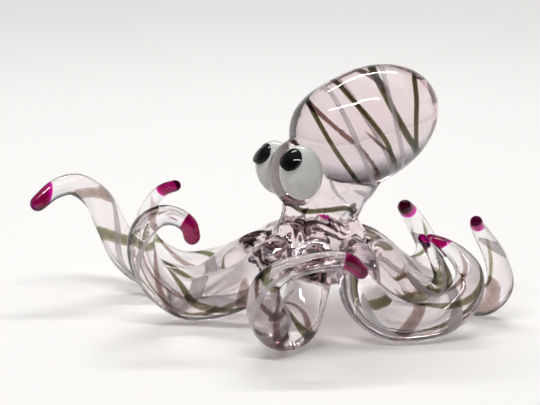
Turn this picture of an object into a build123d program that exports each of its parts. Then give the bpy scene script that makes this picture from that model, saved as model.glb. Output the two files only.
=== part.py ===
from build123d import *
import math
import os

FULL_TURN = 360.0

# A flameworked glass octopus, in millimetres. Its table is Z = 0, it faces left along -X,
# and +Y is its far side. It is drawn about the middle of its hub, and the finished pieces
# are then moved so that the origin is on the table, under the middle of their box.

# Clear glass of the arms
ARM_ROOT_RADIUS = 4.2
ARM_ROOT_GAP = 0.7
FOOT_FLAT_DEPTH = 0.15
FIRST_ROOT_HEADING = 37.0
ROOT_RISE = 2.4
ROOT_CORE_SHARE = 0.70
TABLE_RADIUS = 150.0

# Hub that the arms are melted onto
HUB_BELLY_HEIGHT = 7.4
ROOT_HEIGHT = 13.6
HUB_TOP_HEIGHT = 22.0
HUB_DRAW_SHARE = 0.2
NECK_RADIUS = 7.7

# Mantle, the solid glass head on its short neck
MANTLE_RADIUS = 11.6
MANTLE_CROWN_LENGTH = 16.4
MANTLE_FRONT_LENGTH = 15.5
MANTLE_LEAN = 9.5
MANTLE_HEIGHT = 39.2
MANTLE_TILT = 25.0
MANTLE_HEADING = 18.0
NECK_LEAN = 5.0
NECK_LENGTH = 9.5
NECK_TOP_RADIUS = 8.5
NECK_DOME_LENGTH = 6.0

# Lobe of clear glass that the eyes are set in
FACE_RADIUS = 7.3
FACE_LEAN = 3.4
FACE_HEADING = 202.0
FACE_HEIGHT = 30.6

# Eyes and pupils
EYE_RADIUS = 4.3
EYE_LENGTH = 11.2
EYE_TILT = 12.0
EYE_RING_RADIUS = 10.1
EYE_RING_LEAN = 1.2
NEAR_EYE_HEADING = 240.0
NEAR_EYE_HEIGHT = 32.1
NEAR_LOOK_HEADING = 232.0
FAR_EYE_HEADING = 166.0
FAR_EYE_HEIGHT = 30.9
FAR_LOOK_HEADING = 206.0
PUPIL_RADIUS = 2.4
PUPIL_DEPTH = 1.0
PUPIL_PROUD = 0.25
LOOK_LIFT = 44.0

# Each eye: the direction it stands in on the face, its height, the direction it looks in
EYES = {
    "near": (NEAR_EYE_HEADING, NEAR_EYE_HEIGHT, NEAR_LOOK_HEADING),
    "far": (FAR_EYE_HEADING, FAR_EYE_HEIGHT, FAR_LOOK_HEADING),
}

# Coloured canes inside the clear glass, their width and cover as at an arm's root
CANE_WIDTH = 1.6
CANE_THICKNESS = 0.36
CANE_COVER = 0.6
CANE_TURN_LENGTH = 44.0
MANTLE_CANE_WIDTH = 1.1
MANTLE_CANE_COVER = 0.7

# The canes of each arm, with the angle round the rod at which each starts
ARM_CANE_ANGLES = {"white_cane": 120.0, "mauve_cane": 210.0, "olive_cane": 300.0}

# Ruby ends of the arms, cut off along a slant by a block a few end radii wide
TIP_LENGTH = 4.0
TIP_SLANT = 32.0
TIP_BLOCK_SHARE = 3.4
TIP_CLEARANCE_SHARE = 2.0

# How far an arm reaches from its root, and how high its underside climbs
FAR_LEFT_REACH = 49.0
FAR_LEFT_LIFT = 21.6
LEFT_BACK_REACH = 37.0
LEFT_BACK_LIFT = 20.9
LEFT_FRONT_REACH = 27.0
LEFT_FRONT_LIFT = 22.5
FRONT_REACH = 19.0
FRONT_LIFT = 17.5
RIGHT_FRONT_REACH = 23.0
RIGHT_FRONT_LIFT = 17.7
RIGHT_INNER_REACH = 14.5
RIGHT_INNER_LIFT = 18.3
RIGHT_BACK_REACH = 25.5
RIGHT_BACK_LIFT = 16.8
FAR_RIGHT_REACH = 28.7
FAR_RIGHT_LIFT = 18.7

# The arms in order round the hub, anticlockwise from the first root heading, with the
# reach and lift of each.
ARMS = [
    ("far_right", FAR_RIGHT_REACH, FAR_RIGHT_LIFT),
    ("right_back", RIGHT_BACK_REACH, RIGHT_BACK_LIFT),
    ("left_back", LEFT_BACK_REACH, LEFT_BACK_LIFT),
    ("far_left", FAR_LEFT_REACH, FAR_LEFT_LIFT),
    ("left_front", LEFT_FRONT_REACH, LEFT_FRONT_LIFT),
    ("front", FRONT_REACH, FRONT_LIFT),
    ("right_front", RIGHT_FRONT_REACH, RIGHT_FRONT_LIFT),
    ("right_inner", RIGHT_INNER_REACH, RIGHT_INNER_LIFT),
]

# How much of the full tip length each arm's ruby end has
TIP_SHARES = {
    "far_right": 0.45,
    "right_back": 0.50,
    "left_back": 1.00,
    "far_left": 0.75,
    "left_front": 1.05,
    "front": 0.95,
    "right_front": 0.75,
    "right_inner": 0.30,
}

# Where each arm goes from its root: right and back as shares of its reach, underside
# height as a share of its lift, thickness as a share of its root radius.
ROUTE_SHARES = {
    "far_right": [
        (0.23, -0.02, 0.26, 0.93),
        (0.50, -0.07, 0.05, 0.85),
        (0.72, -0.18, 0.00, 0.76),
        (0.87, -0.28, 0.04, 0.70),
        (0.96, -0.33, 0.25, 0.66),
        (0.94, -0.29, 0.50, 0.58),
        (0.87, -0.24, 0.75, 0.46),
        (0.80, -0.24, 0.94, 0.36),
        (0.78, -0.31, 1.03, 0.32),
    ],
    "right_back": [
        (0.17, 0.13, 0.42, 0.93),
        (0.41, 0.21, 0.21, 0.88),
        (0.66, 0.30, 0.05, 0.80),
        (0.85, 0.42, 0.10, 0.72),
        (0.92, 0.50, 0.34, 0.62),
        (0.85, 0.51, 0.60, 0.56),
        (0.76, 0.46, 0.84, 0.50),
        (0.70, 0.35, 1.00, 0.40),
    ],
    "left_back": [
        (-0.16, 0.18, 0.29, 0.93),
        (-0.38, 0.37, 0.10, 0.80),
        (-0.63, 0.48, 0.08, 0.64),
        (-0.80, 0.54, 0.30, 0.51),
        (-0.84, 0.54, 0.55, 0.43),
        (-0.79, 0.52, 0.77, 0.38),
        (-0.71, 0.47, 0.94, 0.34),
        (-0.64, 0.43, 1.00, 0.31),
    ],
    "far_left": [
        (-0.11, 0.11, 0.27, 0.95),
        (-0.27, 0.20, 0.00, 0.92),
        (-0.45, 0.27, 0.03, 0.88),
        (-0.60, 0.33, 0.24, 0.85),
        (-0.67, 0.35, 0.55, 0.79),
        (-0.73, 0.35, 0.84, 0.69),
        (-0.82, 0.33, 1.00, 0.59),
        (-0.90, 0.29, 0.99, 0.50),
        (-0.97, 0.24, 0.89, 0.42),
    ],
    "left_front": [
        (-0.18, 0.02, 0.21, 1.08),
        (-0.38, 0.08, 0.08, 1.12),
        (-0.63, 0.12, 0.03, 1.02),
        (-0.85, 0.06, 0.24, 0.86),
        (-0.96, -0.04, 0.56, 0.71),
        (-0.92, -0.14, 0.87, 0.58),
        (-0.79, -0.20, 1.00, 0.50),
        (-0.67, -0.22, 0.99, 0.45),
        (-0.60, -0.23, 0.93, 0.42),
        (-0.58, -0.23, 0.84, 0.40),
    ],
    "front": [
        (-0.07, -0.18, 0.25, 1.02),
        (-0.19, -0.39, 0.00, 1.10),
        (-0.36, -0.64, 0.07, 1.04),
        (-0.49, -0.83, 0.45, 0.82),
        (-0.46, -0.88, 0.73, 0.63),
        (-0.30, -0.86, 0.89, 0.52),
        (-0.09, -0.82, 0.96, 0.46),
        (0.15, -0.77, 1.00, 0.42),
        (0.35, -0.72, 0.97, 0.40),
        (0.46, -0.69, 0.87, 0.36),
    ],
    "right_front": [
        (0.05, -0.22, 0.24, 0.98),
        (0.21, -0.30, 0.06, 0.96),
        (0.46, -0.28, 0.00, 0.93),
        (0.76, -0.20, 0.07, 0.88),
        (0.95, -0.10, 0.31, 0.80),
        (0.97, -0.02, 0.55, 0.65),
        (0.89, 0.04, 0.75, 0.48),
        (0.77, 0.08, 0.89, 0.36),
        (0.655, 0.10, 0.97, 0.28),
    ],
    "right_inner": [
        (0.33, -0.12, 0.30, 0.83),
        (0.66, -0.22, 0.21, 0.74),
        (0.88, -0.26, 0.26, 0.60),
        (0.89, -0.38, 0.47, 0.46),
        (0.79, -0.49, 0.70, 0.34),
        (0.68, -0.55, 0.88, 0.27),
        (0.58, -0.55, 1.00, 0.22),
    ],
}

# The mantle's outline in front of its widest ring: distance as a share of the front
# length, girth as a share of its radius. Behind the ring it is half an ellipse.
MANTLE_FRONT_SHARES = [
    (0.25, 0.995),
    (0.48, 0.95),
    (0.70, 0.83),
    (0.86, 0.62),
    (0.96, 0.34),
    (1.00, 0.10),
]

# Canes round the mantle: the width of each as a share of the full width, then rows. A row
# gives the place along the head, as a share of the crown length (over 0) or of the front
# length (under 0), and the turn round the head: 0 the back, 90 the top, 180 the near eye.
MANTLE_CANE_SHARES = {
    "mantle_white_cane_1": (
        0.9, [(-0.30, 60), (-0.27, 100), (-0.32, 140), (-0.35, 180), (-0.32, 220), (-0.24, 260)],
    ),
    "mantle_white_cane_2": (
        0.9, [(0.56, 60), (0.47, 100), (0.31, 140), (0.19, 180), (0.14, 220), (0.16, 260)],
    ),
    "mantle_mauve_cane": (
        0.5, [(-0.42, 40), (-0.32, 15), (-0.17, -10), (0.00, -35), (0.10, -60), (0.14, -85)],
    ),
    "mantle_olive_cane_1": (
        0.9, [(-0.47, 70), (-0.56, 100), (-0.62, 135), (-0.62, 170), (-0.56, 200), (-0.44, 235)],
    ),
    "mantle_olive_cane_2": (
        1.0, [(-0.08, 60), (-0.11, 95), (-0.12, 130), (-0.06, 162), (0.00, 190), (0.00, 220)],
    ),
    "mantle_olive_cane_3": (
        1.2, [(0.80, 110), (0.70, 140), (0.58, 165), (0.46, 185), (0.38, 205), (0.36, 230)],
    ),
}

# Canes round the neck. Each row gives the height as a share of the neck's length, and the
# direction from the neck's middle in degrees, anticlockwise seen from above.
NECK_CANE_SHARES = {
    "neck_olive_cane": [(0.50, 170), (0.28, 200), (0.18, 235), (0.22, 270), (0.24, 305), (0.10, 335)],
    "neck_white_cane": [(0.62, 300), (0.50, 330), (0.36, 0), (0.26, 30), (0.20, 60)],
}

# Angles, in degrees, at which a rounded end is given a section
DOME_ANGLES = [25.0, 48.0, 66.0, 78.0, 86.0]

# Sections of a rod, and of a cane, from one of its stations to the next, and the station of
# an arm, counted from 0 inside the hub, at which its canes start
ROD_STEPS = 2
CANE_STEPS = 4
CANE_START_STATION = 2

HUB_RADIUS = (ARM_ROOT_RADIUS + ARM_ROOT_GAP / 2) / math.sin(math.pi / len(ARMS))


def pointing(heading):
    """The level direction at a heading in degrees, anticlockwise from +X seen from above."""
    angle = math.radians(heading)
    return Vector(math.cos(angle), math.sin(angle), 0)


def arm_stations(number):
    """Centres and radii along one arm, from inside the hub to its end."""
    name, reach, lift = ARMS[number]
    out = pointing(FIRST_ROOT_HEADING + FULL_TURN / len(ARMS) * number)
    root = out * HUB_RADIUS
    centres = [
        out * ARM_ROOT_RADIUS + Vector(0, 0, ROOT_HEIGHT + ROOT_RISE),
        root + Vector(0, 0, ROOT_HEIGHT),
    ]
    radii = [ARM_ROOT_RADIUS * ROOT_CORE_SHARE, ARM_ROOT_RADIUS]
    for right_share, back_share, height_share, thickness_share in ROUTE_SHARES[name]:
        radius = ARM_ROOT_RADIUS * thickness_share
        height = height_share * lift + radius - FOOT_FLAT_DEPTH
        centres.append(Vector(root.X + right_share * reach, root.Y + back_share * reach, height))
        radii.append(radius)
    return centres, radii


class Route:
    """A smooth line through the stations, with a frame that doesn't spin and the radius."""

    def __init__(self, centres, radii, steps_per_span):
        self.origins = []
        self.tangents = []
        self.radii = []
        spans = len(centres) - 1
        lengths = [(centres[i + 1] - centres[i]).length for i in range(spans)]
        slopes = [self._slope(centres, lengths, i) for i in range(spans + 1)]
        growths = [self._slope(radii, lengths, i) for i in range(spans + 1)]
        for i in range(spans):
            last_step = steps_per_span + (1 if i == spans - 1 else 0)
            for step in range(last_step):
                share = step / steps_per_span
                ends = (centres[i], centres[i + 1], slopes[i], slopes[i + 1])
                self.origins.append(self._between(*ends, lengths[i], share))
                self.tangents.append(self._direction(*ends, lengths[i], share))
                ends = (radii[i], radii[i + 1], growths[i], growths[i + 1])
                self.radii.append(self._between(*ends, lengths[i], share))
        self.sides = [Vector(0, 0, 1).cross(self.tangents[0]).normalized()]
        for tangent in self.tangents[1:]:
            side = self.sides[-1]
            self.sides.append((side - tangent * side.dot(tangent)).normalized())

    @staticmethod
    def _slope(values, lengths, i):
        """Rate of change at a station, per length of line, from the spans on each side."""
        if i == 0:
            return (values[1] - values[0]) * (1 / lengths[0])
        if i == len(lengths):
            return (values[i] - values[i - 1]) * (1 / lengths[i - 1])
        before = (values[i] - values[i - 1]) * (1 / lengths[i - 1])
        after = (values[i + 1] - values[i]) * (1 / lengths[i])
        weight = lengths[i - 1] / (lengths[i - 1] + lengths[i])
        return before * (1 - weight) + after * weight

    @staticmethod
    def _between(start, end, start_slope, end_slope, length, share):
        """A value part of the way along a span, on the cubic that keeps both end slopes."""
        rise = share * share * (3 - 2 * share)
        leave = share * (1 - share) * (1 - share) * length
        arrive = share * share * (share - 1) * length
        return start * (1 - rise) + end * rise + start_slope * leave + end_slope * arrive

    @staticmethod
    def _direction(start, end, start_slope, end_slope, length, share):
        """The unit tangent of that cubic."""
        rise = 6 * share * (1 - share) / length
        leave = (1 - share) * (1 - 3 * share)
        arrive = share * (3 * share - 2)
        tangent = (end - start) * rise + start_slope * leave + end_slope * arrive
        return tangent.normalized()

    def plane(self, index):
        return Plane(self.origins[index], x_dir=self.sides[index], z_dir=self.tangents[index])


def tapered_rod(route, end_length):
    """A round rod along a route, closed by a rounded end of the given length."""
    sections = [Wire.make_circle(radius, route.plane(index)) for index, radius in enumerate(route.radii)]
    last = route.plane(len(route.radii) - 1)
    for angle in DOME_ANGLES:
        advance = end_length * math.sin(math.radians(angle))
        radius = route.radii[-1] * math.cos(math.radians(angle))
        sections.append(Wire.make_circle(radius, last.offset(advance)))
    return Solid.make_loft(sections)


def hub():
    """The gather: a turned lump, widest where the arms leave, drawn in to the neck."""
    side = Spline(
        (0, HUB_BELLY_HEIGHT),
        (HUB_RADIUS, ROOT_HEIGHT),
        (NECK_RADIUS, HUB_TOP_HEIGHT),
        tangents=[(1, 0), (0, 1), (-HUB_DRAW_SHARE, 1)],
    )
    outline = side + Polyline((NECK_RADIUS, HUB_TOP_HEIGHT), (0, HUB_TOP_HEIGHT), (0, HUB_BELLY_HEIGHT))
    return revolve(Plane.XZ * make_face(outline), Axis.Z)


def head_axis():
    """The plane of the mantle's widest ring, its Z pointing at the crown."""
    tilt = math.radians(MANTLE_TILT)
    out = pointing(MANTLE_HEADING)
    centre = out * MANTLE_LEAN + Vector(0, 0, MANTLE_HEIGHT)
    crown = out * math.cos(tilt) + Vector(0, 0, math.sin(tilt))
    return Plane(centre, x_dir=Vector(0, 0, 1).cross(crown), z_dir=crown)


def stacked(rings):
    """A solid lofted up Z through rings, each a height and a radius."""
    return Solid.make_loft([Wire.make_circle(radius, Plane((0, 0, height))) for height, radius in rings])


def dome_rings(radius, length):
    """Rings of half an ellipsoid, from just past its widest ring to its top."""
    angles = [math.radians(angle) for angle in DOME_ANGLES]
    return [(length * math.sin(angle), radius * math.cos(angle)) for angle in angles]


def mantle_blank():
    """The egg-shaped head, round about its own axis, and the neck that carries it."""
    front = [(-MANTLE_FRONT_LENGTH * place, MANTLE_RADIUS * girth) for place, girth in MANTLE_FRONT_SHARES]
    rings = front[::-1] + [(0, MANTLE_RADIUS)] + dome_rings(MANTLE_RADIUS, MANTLE_CROWN_LENGTH)
    lobe = Pos(pointing(FACE_HEADING) * FACE_LEAN + Vector(0, 0, FACE_HEIGHT)) * egg(FACE_RADIUS, FACE_RADIUS)
    return head_axis() * stacked(rings) + neck_blank() + lobe


def neck_blank():
    """The neck, flat on the hub, leaning back and closed by a dome inside the head."""
    seat = Plane((0, 0, HUB_TOP_HEIGHT))
    top = Plane(pointing(MANTLE_HEADING) * NECK_LEAN + Vector(0, 0, HUB_TOP_HEIGHT + NECK_LENGTH))
    stem = Solid.make_loft([Wire.make_circle(NECK_RADIUS, seat), Wire.make_circle(NECK_TOP_RADIUS, top)])
    dome = stacked([(0, NECK_TOP_RADIUS)] + dome_rings(NECK_TOP_RADIUS, NECK_DOME_LENGTH))
    return stem + top * dome


def egg_girth(place):
    """Radius of the mantle at a signed share of its crown or front length."""
    if place >= 0:
        return MANTLE_RADIUS * math.sqrt(1 - place * place)
    outline = [(0.0, 1.0)] + MANTLE_FRONT_SHARES
    for (near, near_girth), (far, far_girth) in zip(outline, outline[1:]):
        if near <= -place <= far:
            share = (-place - near) / (far - near)
            return MANTLE_RADIUS * (near_girth + (far_girth - near_girth) * share)


def ribbon(planes, widths, thickness):
    """A flat cane lofted through oblongs, one in each plane, X across it and Y through it."""
    sections = [plane * Rectangle(width, thickness) for plane, width in zip(planes, widths)]
    return Solid.make_loft([section.face().outer_wire() for section in sections])


def arm_cane(route, start_angle, last):
    """A cane that spirals just under an arm's skin, from outside the hub to a last section."""
    planes = []
    widths = []
    run = 0.0
    for index in range(CANE_START_STATION * CANE_STEPS, last + 1):
        run += (route.origins[index] - route.origins[index - 1]).length
        share = route.radii[index] / ARM_ROOT_RADIUS
        angle = math.radians(start_angle + FULL_TURN * run / CANE_TURN_LENGTH)
        tangent = route.tangents[index]
        side = route.sides[index]
        outward = side * math.cos(angle) + tangent.cross(side) * math.sin(angle)
        depth = CANE_COVER * share + CANE_THICKNESS / 2
        origin = route.origins[index] + outward * (route.radii[index] - depth)
        planes.append(Plane(origin, x_dir=tangent.cross(outward), z_dir=tangent))
        widths.append(CANE_WIDTH * share)
    return ribbon(planes, widths, CANE_THICKNESS)


def mantle_cane(width_share, rows):
    """A cane that winds just under the skin of the mantle, through the given places."""
    centres = []
    for place, turn in rows:
        length = MANTLE_CROWN_LENGTH if place > 0 else MANTLE_FRONT_LENGTH
        girth = egg_girth(place) - MANTLE_CANE_COVER - CANE_THICKNESS / 2
        angle = math.radians(turn)
        centres.append(Vector(girth * math.cos(angle), girth * math.sin(angle), place * length))
    route = Route(centres, [MANTLE_CANE_WIDTH * width_share] * len(centres), CANE_STEPS)
    planes = []
    for origin, tangent in zip(route.origins, route.tangents):
        length = MANTLE_CROWN_LENGTH if origin.Z > 0 else MANTLE_FRONT_LENGTH
        outward = Vector(origin.X, origin.Y, origin.Z * (MANTLE_RADIUS / length) ** 2)
        planes.append(Plane(origin, x_dir=tangent.cross(outward), z_dir=tangent))
    return head_axis() * ribbon(planes, route.radii, CANE_THICKNESS)


def neck_cane(rows):
    """A cane that winds just under the skin of the neck, through the given places."""
    centres = []
    lean = pointing(MANTLE_HEADING) * NECK_LEAN
    for share, turn in rows:
        middle = lean * share + Vector(0, 0, HUB_TOP_HEIGHT + NECK_LENGTH * share)
        skin = NECK_RADIUS + (NECK_TOP_RADIUS - NECK_RADIUS) * share
        centres.append(middle + pointing(turn) * (skin - MANTLE_CANE_COVER - CANE_THICKNESS / 2))
    route = Route(centres, [MANTLE_CANE_WIDTH] * len(centres), CANE_STEPS)
    planes = []
    for origin, tangent in zip(route.origins, route.tangents):
        middle = lean * ((origin.Z - HUB_TOP_HEIGHT) / NECK_LENGTH)
        outward = Vector(origin.X - middle.X, origin.Y - middle.Y, 0)
        planes.append(Plane(origin, x_dir=tangent.cross(outward), z_dir=tangent))
    return ribbon(planes, route.radii, CANE_THICKNESS)


def eye_frame(heading, height):
    """The plane of an eye's middle, its Z up the eye."""
    out = pointing(heading)
    tilt = math.radians(EYE_TILT)
    centre = Vector(EYE_RING_LEAN, 0, height) + out * EYE_RING_RADIUS
    up = out * math.sin(tilt) + Vector(0, 0, math.cos(tilt))
    return Plane(centre, x_dir=Vector(0, 0, 1).cross(out), z_dir=up)


def egg(radius, half_length):
    """An ellipsoid standing on Z."""
    top = dome_rings(radius, half_length)
    bottom = [(-height, ring) for height, ring in reversed(top)]
    return stacked(bottom + [(0, radius)] + top)


def domed_plug(radius, height, dome_radius):
    """A round plug with a flat foot at Z = 0 and a crowned top, turned about Z."""
    drop = dome_radius - math.sqrt(dome_radius ** 2 - radius ** 2)
    wall = Polyline((0, height), (0, 0), (radius, 0), (radius, height - drop))
    dome = RadiusArc((radius, height - drop), (0, height), -dome_radius)
    return revolve(Plane.XZ * make_face(wall + dome), Axis.Z)


def eye_and_pupil(heading, height, look_heading):
    """A white eye with the seat for its pupil, and the black pupil that fills the seat."""
    frame = eye_frame(heading, height)
    lift = math.radians(LOOK_LIFT)
    look = pointing(look_heading) * math.cos(lift) + Vector(0, 0, math.sin(lift))
    along = look.dot(frame.z_dir)
    across = math.sqrt(1 - along * along)
    reach = 1 / math.hypot(across / EYE_RADIUS, along / (EYE_LENGTH / 2))
    seat = Plane(frame.origin + look * (reach - PUPIL_DEPTH), z_dir=look)
    pupil = seat * domed_plug(PUPIL_RADIUS, PUPIL_DEPTH + PUPIL_PROUD, reach + PUPIL_PROUD)
    room = extrude(seat * Circle(PUPIL_RADIUS), EYE_LENGTH, dir=look)
    return frame * egg(EYE_RADIUS, EYE_LENGTH / 2) - room, pupil


def last_cane_section(route, tip_length):
    """The last section of an arm that is clear of the slanted start of its tip."""
    clear = tip_length + TIP_CLEARANCE_SHARE * route.radii[-1]
    index = len(route.origins) - 1
    while clear > 0:
        clear -= (route.origins[index] - route.origins[index - 1]).length
        index -= 1
    return index


def make_arm(number, gather):
    """One arm: its clear glass, its ruby tip and the canes sealed in it."""
    centres, radii = arm_stations(number)
    coarse = Route(centres, radii, ROD_STEPS)
    table = extrude(Circle(TABLE_RADIUS), -ARM_ROOT_RADIUS)
    rod = tapered_rod(coarse, radii[-1]) - gather - table
    tip_length = TIP_LENGTH * TIP_SHARES[ARMS[number][0]]
    cut = coarse.plane(-1).offset(-tip_length).rotated((TIP_SLANT, 0, 0))
    block = TIP_BLOCK_SHARE * radii[-1]
    cutter = extrude(cut * Rectangle(block, block), block + tip_length, dir=coarse.tangents[-1])
    pieces = {"arm": rod - cutter, "tip": rod & cutter}
    fine = Route(centres, radii, CANE_STEPS)
    last = last_cane_section(fine, tip_length)
    for name, angle in ARM_CANE_ANGLES.items():
        pieces[name] = arm_cane(fine, angle, last)
        pieces["arm"] -= pieces[name]
    return pieces


def head_pieces():
    """The mantle, with its eyes, pupils and canes."""
    pieces = {}
    glass = mantle_blank()
    for name, places in EYES.items():
        white, pupil = eye_and_pupil(*places)
        glass = glass - white - pupil
        pieces[name + "_eye"] = white
        pieces[name + "_pupil"] = pupil
    for name, (width_share, rows) in MANTLE_CANE_SHARES.items():
        pieces[name] = mantle_cane(width_share, rows)
        glass = glass - pieces[name]
    for name, rows in NECK_CANE_SHARES.items():
        pieces[name] = neck_cane(rows)
        glass = glass - pieces[name]
    pieces["mantle"] = glass
    return pieces


def main():
    os.makedirs("parts", exist_ok=True)
    gather = hub()
    pieces = {"hub": gather}
    pieces.update(head_pieces())
    for number, arm in enumerate(ARMS):
        for piece, shape in make_arm(number, gather).items():
            pieces[arm[0] + "_" + piece] = shape
    box = Compound([solid for shape in pieces.values() for solid in shape.solids()]).bounding_box()
    home = Pos(-box.center().X, -box.center().Y, 0)
    for name, shape in pieces.items():
        solids = [home * solid for solid in shape.solids()]
        export_step(Compound(solids), os.path.join("parts", name + ".step"))


if __name__ == "__main__":
    main()
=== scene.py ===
import math

import bpy
from mathutils import Matrix, Vector, kdtree, noise


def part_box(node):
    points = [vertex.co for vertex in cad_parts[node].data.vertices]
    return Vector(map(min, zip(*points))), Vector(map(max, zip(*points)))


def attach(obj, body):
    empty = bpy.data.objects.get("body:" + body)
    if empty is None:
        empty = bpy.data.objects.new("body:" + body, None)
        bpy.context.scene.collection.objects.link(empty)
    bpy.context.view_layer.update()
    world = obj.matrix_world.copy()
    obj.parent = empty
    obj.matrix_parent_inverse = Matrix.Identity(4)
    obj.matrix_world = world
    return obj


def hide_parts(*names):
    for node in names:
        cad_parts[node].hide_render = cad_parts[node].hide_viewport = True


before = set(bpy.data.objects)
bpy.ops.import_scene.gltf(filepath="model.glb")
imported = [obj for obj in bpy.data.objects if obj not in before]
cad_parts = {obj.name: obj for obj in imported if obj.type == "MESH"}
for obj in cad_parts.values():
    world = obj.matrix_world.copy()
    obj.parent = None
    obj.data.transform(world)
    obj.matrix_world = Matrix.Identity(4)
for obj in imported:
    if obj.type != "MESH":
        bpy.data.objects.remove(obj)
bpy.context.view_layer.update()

# Arms
# The real arms are eight rods of clear, faintly lilac glass, softened in the flame, drawn
# thin towards their ends and curled one by one. Each is melted onto the side of the hub.
MM = 0.001
hub_low, hub_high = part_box("hub")
HUB_FOOT = Vector(((hub_low.x + hub_high.x) / 2, (hub_low.y + hub_high.y) / 2, 0))
HUB_RADIUS = (hub_high.x - hub_low.x) / 2
ROOT_HEIGHT = 13.6 * MM
ROOT_RISE = 2.4 * MM
ARM_ROOT_RADIUS = 4.2 * MM
ROOT_CORE_SHARE = 0.70
FOOT_FLAT_DEPTH = 0.15 * MM
FIRST_ROOT_HEADING = 37.0
ROD_STEPS = 8
ROD_BEVEL_STEPS = 12
DOME_ANGLES = (15, 30, 45, 58, 70, 80, 87)

# The arms in order round the hub, anticlockwise from above, with the reach and lift of each
ARMS = [
    ("far_right", 28.7 * MM, 18.7 * MM),
    ("right_back", 25.5 * MM, 16.8 * MM),
    ("left_back", 37.0 * MM, 20.9 * MM),
    ("far_left", 49.0 * MM, 21.6 * MM),
    ("left_front", 27.0 * MM, 22.5 * MM),
    ("front", 19.0 * MM, 17.5 * MM),
    ("right_front", 23.0 * MM, 17.7 * MM),
    ("right_inner", 14.5 * MM, 18.3 * MM),
]
arm_names = [name for name, reach, lift in ARMS]

# Where each arm goes from its root: right and back as shares of its reach, underside
# height as a share of its lift, thickness as a share of its root radius.
ROUTE_SHARES = {
    "far_right": [
        (0.23, -0.02, 0.26, 0.93),
        (0.50, -0.07, 0.05, 0.85),
        (0.72, -0.18, 0.00, 0.76),
        (0.87, -0.28, 0.04, 0.70),
        (0.96, -0.33, 0.25, 0.66),
        (0.94, -0.29, 0.50, 0.58),
        (0.87, -0.24, 0.75, 0.46),
        (0.80, -0.24, 0.94, 0.36),
        (0.78, -0.31, 1.03, 0.32),
    ],
    "right_back": [
        (0.17, 0.13, 0.42, 0.93),
        (0.41, 0.21, 0.21, 0.88),
        (0.66, 0.30, 0.05, 0.80),
        (0.85, 0.42, 0.10, 0.72),
        (0.92, 0.50, 0.34, 0.62),
        (0.85, 0.51, 0.60, 0.56),
        (0.76, 0.46, 0.84, 0.50),
        (0.70, 0.35, 1.00, 0.40),
    ],
    "left_back": [
        (-0.16, 0.18, 0.29, 0.93),
        (-0.38, 0.37, 0.10, 0.80),
        (-0.63, 0.48, 0.08, 0.64),
        (-0.80, 0.54, 0.30, 0.51),
        (-0.84, 0.54, 0.55, 0.43),
        (-0.79, 0.52, 0.77, 0.38),
        (-0.71, 0.47, 0.94, 0.34),
        (-0.64, 0.43, 1.00, 0.31),
    ],
    "far_left": [
        (-0.11, 0.11, 0.27, 0.95),
        (-0.27, 0.20, 0.00, 0.92),
        (-0.45, 0.27, 0.03, 0.88),
        (-0.60, 0.33, 0.24, 0.85),
        (-0.67, 0.35, 0.55, 0.79),
        (-0.73, 0.35, 0.84, 0.69),
        (-0.82, 0.33, 1.00, 0.59),
        (-0.90, 0.29, 0.99, 0.50),
        (-0.97, 0.24, 0.89, 0.42),
    ],
    "left_front": [
        (-0.18, 0.02, 0.21, 1.08),
        (-0.38, 0.08, 0.08, 1.12),
        (-0.63, 0.12, 0.03, 1.02),
        (-0.85, 0.06, 0.24, 0.86),
        (-0.96, -0.04, 0.56, 0.71),
        (-0.92, -0.14, 0.87, 0.58),
        (-0.79, -0.20, 1.00, 0.50),
        (-0.67, -0.22, 0.99, 0.45),
        (-0.60, -0.23, 0.93, 0.42),
        (-0.58, -0.23, 0.84, 0.40),
    ],
    "front": [
        (-0.07, -0.18, 0.25, 1.02),
        (-0.19, -0.39, 0.00, 1.10),
        (-0.36, -0.64, 0.07, 1.04),
        (-0.49, -0.83, 0.45, 0.82),
        (-0.46, -0.88, 0.73, 0.63),
        (-0.30, -0.86, 0.89, 0.52),
        (-0.09, -0.82, 0.96, 0.46),
        (0.15, -0.77, 1.00, 0.42),
        (0.35, -0.72, 0.97, 0.40),
        (0.46, -0.69, 0.87, 0.36),
    ],
    "right_front": [
        (0.05, -0.22, 0.24, 0.98),
        (0.21, -0.30, 0.06, 0.96),
        (0.46, -0.28, 0.00, 0.93),
        (0.76, -0.20, 0.07, 0.88),
        (0.95, -0.10, 0.31, 0.80),
        (0.97, -0.02, 0.55, 0.65),
        (0.89, 0.04, 0.75, 0.48),
        (0.77, 0.08, 0.89, 0.36),
        (0.655, 0.10, 0.97, 0.28),
    ],
    "right_inner": [
        (0.33, -0.12, 0.30, 0.83),
        (0.66, -0.22, 0.21, 0.74),
        (0.88, -0.26, 0.26, 0.60),
        (0.89, -0.38, 0.47, 0.46),
        (0.79, -0.49, 0.70, 0.34),
        (0.68, -0.55, 0.88, 0.27),
        (0.58, -0.55, 1.00, 0.22),
    ],
}


def arm_stations(number):
    """Centres and radii along one arm, from inside the hub to its end."""
    name, reach, lift = ARMS[number]
    heading = math.radians(FIRST_ROOT_HEADING + 360 / len(ARMS) * number)
    out = Vector((math.cos(heading), math.sin(heading), 0))
    root = HUB_FOOT + out * HUB_RADIUS
    centres = [
        HUB_FOOT + out * ARM_ROOT_RADIUS + Vector((0, 0, ROOT_HEIGHT + ROOT_RISE)),
        root + Vector((0, 0, ROOT_HEIGHT)),
    ]
    radii = [ARM_ROOT_RADIUS * ROOT_CORE_SHARE, ARM_ROOT_RADIUS]
    for right_share, back_share, height_share, thickness_share in ROUTE_SHARES[name]:
        radius = ARM_ROOT_RADIUS * thickness_share
        height = height_share * lift + radius - FOOT_FLAT_DEPTH
        centres.append(root + Vector((right_share * reach, back_share * reach, height)))
        radii.append(radius)
    return centres, radii


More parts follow.
